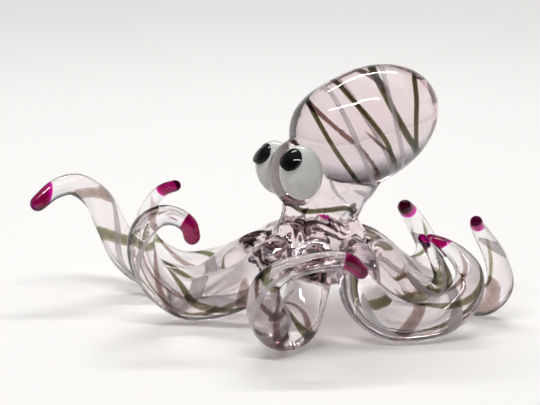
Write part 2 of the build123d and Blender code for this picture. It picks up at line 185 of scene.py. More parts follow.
def slope(values, lengths, i):
    """Rate of change at a station, per length of line, from the spans on each side."""
    if i == 0:
        return (values[1] - values[0]) / lengths[0]
    if i == len(lengths):
        return (values[i] - values[i - 1]) / lengths[i - 1]
    before = (values[i] - values[i - 1]) / lengths[i - 1]
    after = (values[i + 1] - values[i]) / lengths[i]
    weight = lengths[i - 1] / (lengths[i - 1] + lengths[i])
    return before * (1 - weight) + after * weight


def between(values, lengths, i, share):
    """A value part of the way along a span, on the cubic that keeps the slopes at its ends."""
    rise = share * share * (3 - 2 * share)
    leave = share * (1 - share) * (1 - share) * lengths[i]
    arrive = share * share * (share - 1) * lengths[i]
    level = values[i] * (1 - rise) + values[i + 1] * rise
    return level + slope(values, lengths, i) * leave + slope(values, lengths, i + 1) * arrive


class Line:
    """A smooth line through stations, with a size and a frame that doesn't spin at each point."""

    def __init__(self, centres, sizes, steps):
        lengths = [(after - before).length for before, after in zip(centres, centres[1:])]
        places = [(i, step / steps) for i in range(len(lengths)) for step in range(steps)]
        places.append((len(lengths) - 1, 1.0))
        self.points = [between(centres, lengths, *place) for place in places]
        self.sizes = [between(sizes, lengths, *place) for place in places]
        ends = [self.points[0], *self.points, self.points[-1]]
        self.tangents = [(after - before).normalized() for before, after in zip(ends, ends[2:])]
        self.sides = [Vector((0, 0, 1)).cross(self.tangents[0]).normalized()]
        for tangent in self.tangents[1:]:
            side = self.sides[-1]
            self.sides.append((side - tangent * side.dot(tangent)).normalized())
        self.runs = [0.0]
        for before, after in zip(self.points, self.points[1:]):
            self.runs.append(self.runs[-1] + (after - before).length)


def select_only(piece):
    bpy.ops.object.select_all(action="DESELECT")
    piece.select_set(True)
    bpy.context.view_layer.objects.active = piece


def rod(name, points, radii):
    """A closed round rod through the points, as thick at each as its radius."""
    curve = bpy.data.curves.new(name, "CURVE")
    curve.dimensions = "3D"
    curve.bevel_depth = 1.0
    curve.bevel_resolution = ROD_BEVEL_STEPS
    curve.use_fill_caps = True
    spline = curve.splines.new("POLY")
    spline.points.add(len(points) - 1)
    for place, point, radius in zip(spline.points, points, radii):
        place.co = (*point, 1.0)
        place.radius = radius
    piece = bpy.data.objects.new(name, curve)
    bpy.context.scene.collection.objects.link(piece)
    select_only(piece)
    bpy.ops.object.convert(target="MESH")
    return bpy.context.view_layer.objects.active


def domed(line, first=0):
    """The points and radii of a line from one point on, with a rounded end added."""
    points = list(line.points[first:])
    radii = list(line.sizes[first:])
    end, radius, tangent = points[-1], radii[-1], line.tangents[-1]
    for angle in DOME_ANGLES:
        points.append(end + tangent * radius * math.sin(math.radians(angle)))
        radii.append(radius * math.cos(math.radians(angle)))
    return points, radii


arm_lines = [Line(*arm_stations(number), ROD_STEPS) for number in range(len(ARMS))]
clear_pieces = [rod(arm_name, *domed(line)) for arm_name, line in zip(arm_names, arm_lines)]

# Hub, neck and mantle
# The real hub is a gather of clear glass with the arms round it. The neck and the egg-shaped
# mantle are one solid gob pulled up from it, with a lobe in front that carries the eyes.
HUB_BELLY_HEIGHT = 7.4 * MM
HUB_TOP_HEIGHT = 22.0 * MM
HUB_SIDE_STEPS = 6
NECK_RADIUS = 7.7 * MM
NECK_LEAN = 5.0 * MM
NECK_LENGTH = 9.5 * MM
NECK_TOP_RADIUS = 8.5 * MM
NECK_DOME_LENGTH = 6.0 * MM
NECK_OVERLAP = 1.0 * MM
MANTLE_RADIUS = 11.6 * MM
MANTLE_CROWN_LENGTH = 16.4 * MM
MANTLE_FRONT_LENGTH = 15.5 * MM
MANTLE_LEAN = 9.5 * MM
MANTLE_HEIGHT = 39.2 * MM
MANTLE_TILT = 25.0
MANTLE_HEADING = 18.0
FACE_HEADING = 202.0
FACE_RADIUS = 7.3 * MM
FACE_LEAN = 3.4 * MM
FACE_HEIGHT = 30.6 * MM
TURN_STEPS = 72
SEAM_GAP = 0.001 * MM
ROUND_ANGLES = range(5, 90, 5)

# The hub's outline above its widest ring: radius, and height over that ring
HUB_SIDE = [(11.2 * MM, 2.3 * MM), (9.8 * MM, 4.6 * MM), (8.5 * MM, 6.6 * MM)]

# The mantle's outline in front of its widest ring: distance as a share of the front
# length, girth as a share of its radius.
MANTLE_FRONT_SHARES = [
    (0, 1),
    (0.25, 0.995),
    (0.48, 0.95),
    (0.70, 0.83),
    (0.86, 0.62),
    (0.96, 0.34),
    (1, 0),
]
MANTLE_FRONT_STEPS = 5


def turned(name, profile, placing):
    """A closed solid turned about Z from a profile of radii and heights, pole to pole."""
    mesh = bpy.data.meshes.new(name)
    edges = [(i, i + 1) for i in range(len(profile) - 1)]
    mesh.from_pydata([(radius, 0, height) for radius, height in profile], edges, [])
    piece = bpy.data.objects.new(name, mesh)
    bpy.context.scene.collection.objects.link(piece)
    select_only(piece)
    bpy.ops.object.mode_set(mode="EDIT")
    bpy.ops.mesh.select_all(action="SELECT")
    bpy.ops.mesh.spin(steps=TURN_STEPS, angle=math.tau, center=(0, 0, 0), axis=(0, 0, 1))
    bpy.ops.mesh.select_all(action="SELECT")
    bpy.ops.mesh.remove_doubles(threshold=SEAM_GAP)
    bpy.ops.mesh.normals_make_consistent(inside=False)
    bpy.ops.object.mode_set(mode="OBJECT")
    mesh.transform(placing)
    return piece


def half_round(radius, length, top=1):
    """Profile points of half an ellipsoid, from just past its widest ring to its pole. A top
    of 1 puts the pole above the ring, and -1 below it."""
    angles = [math.radians(angle) for angle in ROUND_ANGLES]
    rows = [(radius * math.cos(angle), top * length * math.sin(angle)) for angle in angles]
    return rows + [(0, top * length)]


def smoothed(rows, steps):
    """A profile run smoothly through a few rows of radius and height."""
    centres = [Vector((radius, 0, height)) for radius, height in rows]
    line = Line(centres, [1.0] * len(rows), steps)
    return [(max(point.x, 0), point.z) for point in line.points]


def leaning(heading, lean, height):
    """A place above the table, out from the hub's middle along a heading."""
    angle = math.radians(heading)
    return HUB_FOOT + Vector((lean * math.cos(angle), lean * math.sin(angle), height))


def head_placing():
    """Puts the mantle's own Z along the head, from its face to its crown."""
    out = leaning(MANTLE_HEADING, 1, 0) - HUB_FOOT
    tilt = math.radians(MANTLE_TILT)
    crown = out * math.cos(tilt) + Vector((0, 0, math.sin(tilt)))
    back = Vector((0, 0, 1)).cross(crown).normalized()
    turn = Matrix((back, crown.cross(back), crown)).transposed()
    return Matrix.Translation(leaning(MANTLE_HEADING, MANTLE_LEAN, MANTLE_HEIGHT)) @ turn.to_4x4()


hub_rise = HUB_TOP_HEIGHT - ROOT_HEIGHT
hub_belly = half_round(HUB_RADIUS, ROOT_HEIGHT - HUB_BELLY_HEIGHT, -1)[::-1]
hub_side = smoothed([(HUB_RADIUS, 0), *HUB_SIDE, (NECK_RADIUS, hub_rise)], HUB_SIDE_STEPS)
hub_profile = hub_belly + hub_side + [(0, hub_rise)]
hub_placing = Matrix.Translation(HUB_FOOT + Vector((0, 0, ROOT_HEIGHT)))
clear_pieces.append(turned("hub_lump", hub_profile, hub_placing))

neck_foot = leaning(MANTLE_HEADING, 0, HUB_TOP_HEIGHT)
neck_top = leaning(MANTLE_HEADING, NECK_LEAN, HUB_TOP_HEIGHT + NECK_LENGTH)
neck_points = [neck_foot - Vector((0, 0, NECK_OVERLAP)), neck_foot, neck_top]
neck_radii = [NECK_RADIUS, NECK_RADIUS, NECK_TOP_RADIUS]
clear_pieces.append(rod("neck", neck_points, neck_radii))
neck_dome = [(0, -NECK_OVERLAP), (NECK_TOP_RADIUS, -NECK_OVERLAP), (NECK_TOP_RADIUS, 0)]
neck_dome += half_round(NECK_TOP_RADIUS, NECK_DOME_LENGTH)
clear_pieces.append(turned("neck_dome", neck_dome, Matrix.Translation(neck_top)))

mantle_front = []
for place, girth in reversed(MANTLE_FRONT_SHARES):
    mantle_front.append((MANTLE_RADIUS * girth, -MANTLE_FRONT_LENGTH * place))
mantle_profile = smoothed(mantle_front, MANTLE_FRONT_STEPS)
mantle_profile += half_round(MANTLE_RADIUS, MANTLE_CROWN_LENGTH)
clear_pieces.append(turned("mantle_egg", mantle_profile, head_placing()))

lobe_profile = half_round(FACE_RADIUS, FACE_RADIUS, -1)[::-1]
lobe_profile += [(FACE_RADIUS, 0)] + half_round(FACE_RADIUS, FACE_RADIUS)
lobe_placing = Matrix.Translation(leaning(FACE_HEADING, FACE_LEAN, FACE_HEIGHT))
clear_pieces.append(turned("face_lobe", lobe_profile, lobe_placing))

# Clear glass body
# In the flame the arms, hub and mantle run together into one body without inner joins, with
# a small fillet wherever two of them meet. The voxel skin and the smoothing do the same.
VOXEL_SIZE = 0.43 * MM
MELT_PASSES = 10
MELT_STRENGTH = 0.6
REBOUND_STRENGTH = -0.62


def cut_off(piece, place, towards):
    """Cuts a closed piece at a place, closes the cut, and keeps the side a direction points to."""
    select_only(piece)
    bpy.ops.object.mode_set(mode="EDIT")
    bpy.ops.mesh.select_all(action="SELECT")
    bpy.ops.mesh.bisect(
        plane_co=place, plane_no=towards, use_fill=True, clear_inner=True, threshold=0
    )
    bpy.ops.object.mode_set(mode="OBJECT")


select_only(clear_pieces[0])
for piece in clear_pieces:
    piece.select_set(True)
bpy.ops.object.join()
body = bpy.context.view_layer.objects.active
body.name = "clear_glass_body"
body.data.name = "clear_glass_body"
remesh = body.modifiers.new("melt", "REMESH")
remesh.mode = "VOXEL"
remesh.voxel_size = VOXEL_SIZE
for strength in (MELT_STRENGTH, REBOUND_STRENGTH) * MELT_PASSES:
    smoothing = body.modifiers.new("smooth", "SMOOTH")
    smoothing.factor = strength
    smoothing.iterations = 1
select_only(body)
for modifier in list(body.modifiers):
    bpy.ops.object.modifier_apply(modifier=modifier.name)
cut_off(body, Vector((0, 0, 0)), Vector((0, 0, 1)))
bpy.ops.object.shade_smooth()

# Folds and creases of the gather, where the glass was worked the most
WRINKLE_HEIGHT = 18.0 * MM
WRINKLE_REACH = 19.0 * MM
WRINKLE_RISE = 10.0 * MM
WRINKLE_DEPTH = 1.5 * MM
FOLD_COUNT = 2.6
FOLD_BEND = 0.9
FOLD_BEND_SCALE = 120.0
FOLD_RISE_SCALE = 90.0
CREASE_SCALE = 260.0
CREASE_SHARE = 0.8


def hub_share(point):
    """1 at the wrinkles' height in the middle of the gather, falling to 0 away from there."""
    away = point - HUB_FOOT - Vector((0, 0, WRINKLE_HEIGHT))
    distance = math.hypot(away.x, away.y) / WRINKLE_REACH
    rise = abs(away.z) / WRINKLE_RISE
    return max(0, 1 - distance * distance - rise * rise)


def fold(point):
    """How far a fold of the gather stands out. Folds run down from the neck, with creases."""
    away = point - HUB_FOOT
    out = Vector((away.x, away.y, 0)).normalized() * FOLD_COUNT
    bend = noise.noise(point * FOLD_BEND_SCALE) * FOLD_BEND
    broad = noise.noise(Vector((out.x + bend, out.y - bend, away.z * FOLD_RISE_SCALE)))
    return broad - CREASE_SHARE * abs(noise.noise(point * CREASE_SCALE))


normals = [vertex.normal.copy() for vertex in body.data.vertices]
for vertex, normal in zip(body.data.vertices, normals):
    share = hub_share(vertex.co)
    if share > 0:
        vertex.co += normal * (WRINKLE_DEPTH * share * fold(vertex.co))

# The grain of the drawn glass: for each point of the skin, its direction from the nearest arm's
# line, counted from a mark that twists with the canes, and the distance along it in twists.
TWIST_LENGTH = 44.0 * MM
places = [(line, i) for line in arm_lines for i in range(len(line.points))]
nearest = kdtree.KDTree(len(places))
for number, (line, i) in enumerate(places):
    nearest.insert(line.points[i], number)
nearest.balance()
grain = body.data.attributes.new("grain", "FLOAT_VECTOR", "POINT")
for vertex, value in zip(body.data.vertices, grain.data):
    line, i = places[nearest.find(vertex.co)[1]]
    away = vertex.co - line.points[i]
    side = line.sides[i]
    angle = math.atan2(away.dot(line.tangents[i].cross(side)), away.dot(side))
    angle -= math.tau * line.runs[i] / TWIST_LENGTH
    value.vector = (math.cos(angle), math.sin(angle), line.runs[i] / TWIST_LENGTH)


def new_material(name, **values):
    """A Principled material with the given socket values, and its shader node."""
    material = bpy.data.materials.new(name)
    material.use_nodes = True
    shader = material.node_tree.nodes["Principled BSDF"]
    for socket, value in values.items():
        shader.inputs[socket.replace("_", " ")].default_value = value
    return material, shader


def absorbing(material, colour, density):
    """Fills a closed piece with glass that takes up light along its depth."""
    tree = material.node_tree
    volume = tree.nodes.new("ShaderNodeVolumeAbsorption")
    volume.inputs["Color"].default_value = (*colour, 1)
    volume.inputs["Density"].default_value = density
    tree.links.new(volume.outputs["Volume"], tree.nodes["Material Output"].inputs["Volume"])


def bumped(material, shader, places, scale, detail, depth):
    """Raises cloudy bumps on a surface, over any bumps that it has."""
    tree = material.node_tree
    bumps = tree.nodes.new("ShaderNodeTexNoise")
    bumps.inputs["Scale"].default_value = scale
    bumps.inputs["Detail"].default_value = detail
    bump = tree.nodes.new("ShaderNodeBump")
    bump.inputs["Strength"].default_value = 1
    bump.inputs["Distance"].default_value = depth
    tree.links.new(places, bumps.inputs["Vector"])
    tree.links.new(bumps.outputs["Fac"], bump.inputs["Height"])
    for link in shader.inputs["Normal"].links:
        tree.links.new(link.from_socket, bump.inputs["Normal"])
    tree.links.new(bump.outputs["Normal"], shader.inputs["Normal"])


def rippled(material, shader, scale, depth):
    """Gives a surface the faint waves that flame working leaves."""
    coordinates = material.node_tree.nodes.new("ShaderNodeTexCoord")
    bumped(material, shader, coordinates.outputs["Object"], scale, RIPPLE_DETAIL, depth)


RIPPLE_DETAIL = 2.0
BODY_RIPPLE_SCALE = 160.0
BODY_RIPPLE_DEPTH = 0.025 * MM
GRAIN_DETAIL = 1.5
GRAIN_SCALE = 5.0
GRAIN_DEPTH = 0.010 * MM
LILAC_TINT = (0.62, 0.26, 0.34)
LILAC_DENSITY = 20.0
clear_glass, clear_shader = new_material(
    "clear lilac glass", Base_Color=(1, 1, 1, 1), Roughness=0.0, IOR=1.5, Transmission_Weight=1.0
)
absorbing(clear_glass, LILAC_TINT, LILAC_DENSITY)
rippled(clear_glass, clear_shader, BODY_RIPPLE_SCALE, BODY_RIPPLE_DEPTH)
grain_places = clear_glass.node_tree.nodes.new("ShaderNodeAttribute")
grain_places.attribute_name = "grain"
along_grain = grain_places.outputs["Vector"]
bumped(clear_glass, clear_shader, along_grain, GRAIN_SCALE, GRAIN_DETAIL, GRAIN_DEPTH)
body.data.materials.clear()
body.data.materials.append(clear_glass)
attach(body, "root")
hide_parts("hub", "mantle", *[arm_name + "_arm" for arm_name in arm_names])

# Coloured canes
# The real canes are thin rods of milky white, brown-mauve and dark olive glass, laid along the
# soft clear glass and twisted with it, so that they run as flat ribbons just under its skin.
CANE_WIDTH = 1.6 * MM
CANE_DEPTH = 0.44 * MM
CANE_COVER = 0.78 * MM
CANE_START = 2 * ROD_STEPS
CANE_END_TAPER = 3.0 * MM
CANE_END_RUN = 0.02 * MM
CANE_SIDES = 16
ARM_CANE_ANGLES = {"white_cane": 120.0, "mauve_cane": 210.0, "olive_cane": 300.0}
MANTLE_CANE_WIDTH = 1.1 * MM
MANTLE_CANE_DEPTH = 0.7 * MM
MANTLE_CANE_COVER = 0.88 * MM
MANTLE_CANE_STEPS = 8

# Canes round the mantle: the width of each as a share of the full width, then rows. A row
# gives the place along the head, as a share of the crown length (over 0) or of the front
# length (under 0), and the turn round the head: 0 the back, 90 the top, 180 the near eye.
MANTLE_CANE_SHARES = {
    "mantle_white_cane_1": (
        0.9, [(-0.30, 60), (-0.27, 100), (-0.32, 140), (-0.35, 180), (-0.32, 220), (-0.24, 260)],
    ),
    "mantle_white_cane_2": (
        0.9, [(0.56, 60), (0.47, 100), (0.31, 140), (0.19, 180), (0.14, 220), (0.16, 260)],
    ),
    "mantle_mauve_cane": (
        0.5, [(-0.42, 40), (-0.32, 15), (-0.17, -10), (0.00, -35), (0.10, -60), (0.14, -85)],
    ),
    "mantle_olive_cane_1": (
        0.9, [(-0.47, 70), (-0.56, 100), (-0.62, 135), (-0.62, 170), (-0.56, 200), (-0.44, 235)],
    ),
    "mantle_olive_cane_2": (
        1.0, [(-0.08, 60), (-0.11, 95), (-0.12, 130), (-0.06, 162), (0.00, 190), (0.00, 220)],
    ),
    "mantle_olive_cane_3": (
        1.2, [(0.80, 110), (0.70, 140), (0.58, 165), (0.46, 185), (0.38, 205), (0.36, 230)],
    ),
}

# Canes round the neck. Each row gives the height as a share of the neck's length, and the
# direction from the neck's middle in degrees, anticlockwise seen from above.
NECK_CANE_SHARES = {
    "neck_olive_cane": [
        (0.50, 170), (0.28, 200), (0.18, 235), (0.22, 270), (0.24, 305), (0.10, 335),
    ],
    "neck_white_cane": [(0.62, 300), (0.50, 330), (0.36, 0), (0.26, 30), (0.20, 60)],
}

# More canes in the mantle and the neck that only this script makes, in the same kinds of row
MANTLE_MORE_SHARES = {
    "mantle_far_olive_cane": (
        0.9, [(0.62, 95), (0.50, 50), (0.42, 10), (0.40, -30), (0.45, -60)],
    ),
    "mantle_far_white_cane": (0.8, [(-0.05, 70), (0.05, 30), (0.12, -10), (0.16, -50)]),
    "mantle_top_mauve_cane": (1.5, [(0.20, 72), (0.23, 95), (0.29, 120), (0.31, 145)]),
    "mantle_low_mauve_cane": (0.6, [(-0.20, 165), (-0.10, 185), (0.02, 205), (0.04, 230)]),
}
NECK_THIN_SHARES = {
    "neck_near_white_cane": [(1.10, 242), (0.85, 255), (0.60, 272), (0.37, 298)],
    "neck_left_white_cane": [(0.50, 200), (0.35, 212), (0.20, 226), (0.08, 242)],
}
NECK_THIN_WIDTH = 0.7 * MM


def ribbon(name, line, outwards, width, depth):
    """A flat cane with thin edges along a line, wide across the given outward directions. Its
    name says which glass it is made of."""
    count = len(line.points)
    vertices = []
    for i, (point, outward) in enumerate(zip(line.points, outwards)):
        end_run = min(line.runs[i], line.runs[-1] - line.runs[i])
        taper = math.sqrt(min(1, max(end_run, CANE_END_RUN) / CANE_END_TAPER))
        across = line.tangents[i].cross(outward).normalized()
        for step in range(CANE_SIDES):
            angle = math.tau * step / CANE_SIDES
            wide = across * (width * line.sizes[i] * taper * math.cos(angle) / 2)
            deep = outward * (depth * line.sizes[i] * taper * math.sin(angle) / 2)
            vertices.append(point + wide + deep)
    faces = []
    for i in range(count - 1):
        for step in range(CANE_SIDES):
            corner = i * CANE_SIDES + step
            beside = i * CANE_SIDES + (step + 1) % CANE_SIDES
            faces.append((corner, beside, beside + CANE_SIDES, corner + CANE_SIDES))
    faces.append(tuple(reversed(range(CANE_SIDES))))
    faces.append(tuple(range((count - 1) * CANE_SIDES, count * CANE_SIDES)))
    mesh = bpy.data.meshes.new("visual_" + name)
    mesh.from_pydata(vertices, [], faces)
    piece = bpy.data.objects.new("visual_" + name, mesh)
    bpy.context.scene.collection.objects.link(piece)
    select_only(piece)
    bpy.ops.object.mode_set(mode="EDIT")
    bpy.ops.mesh.select_all(action="SELECT")
    bpy.ops.mesh.normals_make_consistent(inside=False)
    bpy.ops.object.mode_set(mode="OBJECT")
    bpy.ops.object.shade_smooth()
    colour = next(colour for colour in cane_materials if colour in name)
    mesh.materials.append(cane_materials[colour])
    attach(piece, "root")
    return piece


def arm_cane(line, start_angle, last):
    """The line of a cane that spirals under an arm's skin, and its outward directions."""
    centres = []
    outwards = []
    shares = []
    for i in range(CANE_START, last + 1):
        run = line.runs[i] - line.runs[CANE_START]
        angle = math.radians(start_angle) + math.tau * run / TWIST_LENGTH
        side = line.sides[i]
        outward = side * math.cos(angle) + line.tangents[i].cross(side) * math.sin(angle)
        share = line.sizes[i] / ARM_ROOT_RADIUS
        centres.append(line.points[i] + outward * (line.sizes[i] - CANE_COVER * share))
        outwards.append(outward)
        shares.append(share)
    return Line(centres, shares, 1), outwards


def last_before_tip(line, tip_length):
    """The last point of an arm's line that is well clear of its ruby tip's slanted edge."""
    clear = tip_length + TIP_CLEARANCE_SHARE * line.sizes[-1]
    last = len(line.points) - 1
    while line.runs[-1] - line.runs[last] < clear:
        last -= 1
    return last


def egg_girth(place):
    """Radius of the mantle at a signed share of its crown or front length."""
    if place >= 0:
        return MANTLE_RADIUS * math.sqrt(1 - place * place)
    for (near, near_girth), (far, far_girth) in zip(MANTLE_FRONT_SHARES, MANTLE_FRONT_SHARES[1:]):
        if near <= -place <= far:
            share = (-place - near) / (far - near)
            return MANTLE_RADIUS * (near_girth + (far_girth - near_girth) * share)


def mantle_cane(rows):
    """The line of a cane under the mantle's skin, and its outward directions."""
    centres = []
    for place, turn in rows:
        length = MANTLE_CROWN_LENGTH if place > 0 else MANTLE_FRONT_LENGTH
        girth = egg_girth(place) - MANTLE_CANE_COVER
        angle = math.radians(turn)
        centres.append(Vector((girth * math.cos(angle), girth * math.sin(angle), place * length)))
    line = Line(centres, [1.0] * len(centres), MANTLE_CANE_STEPS)
    placing = head_placing()
    outwards = []
    for point in line.points:
        length = MANTLE_CROWN_LENGTH if point.z > 0 else MANTLE_FRONT_LENGTH
        outward = Vector((point.x, point.y, point.z * (MANTLE_RADIUS / length) ** 2))
        outwards.append((placing.to_3x3() @ outward).normalized())
    line.points = [placing @ point for point in line.points]
    line.tangents = [placing.to_3x3() @ tangent for tangent in line.tangents]
    return line, outwards


def neck_cane(rows):
    """The line of a cane under the neck's skin, and its outward directions."""
    lean = leaning(MANTLE_HEADING, NECK_LEAN, 0) - HUB_FOOT
    centres = []
    for share, turn in rows:
        skin = NECK_RADIUS + (NECK_TOP_RADIUS - NECK_RADIUS) * share
        place = leaning(turn, skin - MANTLE_CANE_COVER, HUB_TOP_HEIGHT + NECK_LENGTH * share)
        centres.append(place + lean * share)
    line = Line(centres, [1.0] * len(centres), MANTLE_CANE_STEPS)
    outwards = []
    for point in line.points:
        middle = HUB_FOOT + lean * ((point.z - HUB_TOP_HEIGHT) / NECK_LENGTH)
        outwards.append(Vector((point.x - middle.x, point.y - middle.y, 0)).normalized())
    return line, outwards


def mottled(material, shader, colours, scale):
    """Varies the colour in fine cloudy streaks between a dark and a light colour."""
    tree = material.node_tree
    coordinates = tree.nodes.new("ShaderNodeTexCoord")
    streaks = tree.nodes.new("ShaderNodeTexNoise")
    streaks.inputs["Scale"].default_value = scale
    streaks.inputs["Detail"].default_value = STREAK_DETAIL
    streaks.inputs["Distortion"].default_value = STREAK_DISTORTION
    ramp = tree.nodes.new("ShaderNodeValToRGB")
    for stop, position, colour in zip(ramp.color_ramp.elements, STREAK_STOPS, colours):
        stop.position = position
        stop.color = (*colour, 1)
    tree.links.new(coordinates.outputs["Object"], streaks.inputs["Vector"])
    tree.links.new(streaks.outputs["Fac"], ramp.inputs["Fac"])
    tree.links.new(ramp.outputs["Color"], shader.inputs["Base Color"])


# Noise values that give the dark and the light colour of the streaks
STREAK_STOPS = (0.3, 0.7)
STREAK_DETAIL = 4.0
STREAK_DISTORTION = 1.5
CANE_STREAK_SCALE = 700.0
WHITE_STREAKS = ((0.88, 0.86, 0.87), (1.0, 0.99, 0.99))
MAUVE_STREAKS = ((0.78, 0.72, 0.72), (1.0, 0.96, 0.95))
OLIVE_STREAKS = ((0.70, 0.70, 0.60), (1.0, 1.0, 0.92))
MAUVE_TINT = (0.50, 0.36, 0.31)
MAUVE_DENSITY = 4000.0
OLIVE_TINT = (0.28, 0.26, 0.04)
OLIVE_DENSITY = 4200.0

# An index of 1 lets light pass from the clear glass into the canes unbent, as where two
# glasses are fused.
white_cane, white_shader = new_material(
    "milky white cane", Roughness=0.2, IOR=1.0, Transmission_Weight=0.62
)
mottled(white_cane, white_shader, WHITE_STREAKS, CANE_STREAK_SCALE)
mauve_cane, mauve_shader = new_material(
    "brown mauve cane", Roughness=0.0, IOR=1.0, Transmission_Weight=1.0
)
mottled(mauve_cane, mauve_shader, MAUVE_STREAKS, CANE_STREAK_SCALE)
absorbing(mauve_cane, MAUVE_TINT, MAUVE_DENSITY)
olive_cane, olive_shader = new_material(
    "dark olive cane", Roughness=0.0, IOR=1.0, Transmission_Weight=1.0
)
mottled(olive_cane, olive_shader, OLIVE_STREAKS, CANE_STREAK_SCALE)
absorbing(olive_cane, OLIVE_TINT, OLIVE_DENSITY)
cane_materials = {"white_cane": white_cane, "mauve_cane": mauve_cane, "olive_cane": olive_cane}

# Length of each ruby tip as a share of the full length. The canes stop, and the rod that a tip
# is cut from starts, a clearance before the tip's edge, as a share of the end's radius.
TIP_LENGTH = 4.0 * MM
TIP_CLEARANCE_SHARE = 2.0
TIP_SHARES = {
    "far_right": 0.45,
    "right_back": 0.50,
    "left_back": 1.00,
    "far_left": 0.75,
    "left_front": 1.05,
    "front": 0.95,
    "right_front": 0.75,
    "right_inner": 0.30,
}

for arm_name, line in zip(arm_names, arm_lines):
    last = last_before_tip(line, TIP_LENGTH * TIP_SHARES[arm_name])
    for colour, start_angle in ARM_CANE_ANGLES.items():
        name = arm_name + "_" + colour
        cane = ribbon(name, *arm_cane(line, start_angle, last), CANE_WIDTH, CANE_DEPTH)
        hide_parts(name)
for name, (width_share, rows) in [*MANTLE_CANE_SHARES.items(), *MANTLE_MORE_SHARES.items()]:
    width = MANTLE_CANE_WIDTH * width_share
    cane = ribbon(name, *mantle_cane(rows), width, MANTLE_CANE_DEPTH)
    if name in MANTLE_CANE_SHARES:
        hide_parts(name)
for name, rows in NECK_CANE_SHARES.items():
    cane = ribbon(name, *neck_cane(rows), MANTLE_CANE_WIDTH, MANTLE_CANE_DEPTH)
    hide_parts(name)
for name, rows in NECK_THIN_SHARES.items():
    ribbon(name, *neck_cane(rows), NECK_THIN_WIDTH, NECK_THIN_WIDTH)

# Ruby tips
# Each real tip is a dab of ruby glass melted over the arm's end. It is nearly black where it
# is thick and turns magenta where light comes through.
TIP_COVER = 0.06 * MM
TIP_SMOOTH_ANGLE = 50.0
RUBY_STREAKS = ((0.74, 0.02, 0.24), (1.0, 0.10, 0.96))
RUBY_STREAK_SCALE = 200.0
RUBY_TINT = (0.885, 0.0, 0.79)
RUBY_DENSITY = 3400.0

# Degrees by which the edge of each tip is turned from square, about the line towards the back
TIP_SLANTS = {
    "far_right": 25,
    "right_back": 20,
    "left_back": -30,
    "far_left": 54,
    "left_front": -48,
    "front": -19,
    "right_front": 35,
    "right_inner": 20,
}
ruby_glass, ruby_shader = new_material(
    "ruby glass", Roughness=0.0, IOR=1.0, Transmission_Weight=1.0
)
mottled(ruby_glass, ruby_shader, RUBY_STREAKS, RUBY_STREAK_SCALE)
absorbing(ruby_glass, RUBY_TINT, RUBY_DENSITY)
for arm_name, line in zip(arm_names, arm_lines):
    length = TIP_LENGTH * TIP_SHARES[arm_name]
    points, radii = domed(line, last_before_tip(line, length))
    radii = [max(radius - TIP_COVER, TIP_COVER) for radius in radii]
    tip = rod(arm_name + "_ruby_tip", points, radii)
    tangent = line.tangents[-1]
    slant = Matrix.Rotation(math.radians(TIP_SLANTS[arm_name]), 3, "Y") @ tangent
    cut_off(tip, line.points[-1] - tangent * length, slant)
    tip.data.materials.append(ruby_glass)
    bpy.ops.object.shade_smooth_by_angle(angle=math.radians(TIP_SMOOTH_ANGLE))
    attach(tip, "root")
    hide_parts(arm_name + "_tip")

# A fleck of the same ruby glass, caught under the skin on the near side of the neck. It is
# thick in the middle and runs down to the right.
FLECK_PLACE = Vector((0.9, -7.0, 22.8)) * MM
FLECK_LENGTH = 2.6 * MM
FLECK_DROP = 0.9 * MM
FLECK_RADIUS = 0.42 * MM
FLECK_END_SHARE = 0.02
FLECK_STEPS = 12
fleck_run = Vector((FLECK_LENGTH, 0, -FLECK_DROP))
fleck_points = []
fleck_radii = []
for step in range(FLECK_STEPS + 1):
    share = step / FLECK_STEPS
    fleck_points.append(HUB_FOOT + FLECK_PLACE + fleck_run * (share - 1 / 2))
    fleck_radii.append(FLECK_RADIUS * max(math.sin(math.pi * share), FLECK_END_SHARE))
fleck = rod("neck_ruby_fleck", fleck_points, fleck_radii)
fleck.data.materials.append(ruby_glass)
bpy.ops.object.shade_smooth()
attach(fleck, "root")

# Eyes and pupils
# The real eyes are two dabs of opaque white glass, pressed long on the face. A black dot is
# melted onto each, and the flame leaves both shining.
EYE_STREAKS = ((0.76, 0.77, 0.72), (0.84, 0.84, 0.79))
PUPIL_STREAKS = ((0.003, 0.003, 0.004), (0.009, 0.008, 0.010))
EYE_STREAK_SCALE = 300.0
EYE_RIPPLE_SCALE = 400.0
EYE_RIPPLE_DEPTH = 0.02 * MM
PUPIL_RIPPLE_DEPTH = 0.01 * MM
EYE_SMOOTH_ANGLE = 40.0
white_glass, eye_shader = new_material("white eye glass", Roughness=0.08, IOR=1.5)
mottled(white_glass, eye_shader, EYE_STREAKS, EYE_STREAK_SCALE)
rippled(white_glass, eye_shader, EYE_RIPPLE_SCALE, EYE_RIPPLE_DEPTH)
black_glass, pupil_shader = new_material("black pupil glass", Roughness=0.03, IOR=1.4)
mottled(black_glass, pupil_shader, PUPIL_STREAKS, EYE_STREAK_SCALE)
rippled(black_glass, pupil_shader, EYE_RIPPLE_SCALE, PUPIL_RIPPLE_DEPTH)
for side in ("near", "far"):
    for part, material in (("eye", white_glass), ("pupil", black_glass)):
        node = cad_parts[side + "_" + part]
        node.data.materials.clear()
        node.data.materials.append(material)
        select_only(node)
        bpy.ops.object.shade_smooth_by_angle(angle=math.radians(EYE_SMOOTH_ANGLE))

# Table, light and camera
# The figurine stands on plain white paper. Two long lamps light it from above, one on the near
# side and one behind, with a soft window, and the camera looks a little down on it.
FLOOR_DROP = 0.05 * MM
FLOOR_SIZE = 4000 * MM
# How much the paper glows where it is seen, near and far off; the far glow is painted light
FLOOR_GLOW = 0.14
FAR_FLOOR_GLOW = 0.80
GLOW_START = 300 * MM
GLOW_END = 1400 * MM
PAPER_COLOUR = (0.95, 0.93, 0.91, 1)
PAPER_GLOW_COLOUR = (1.0, 0.985, 0.965, 1)


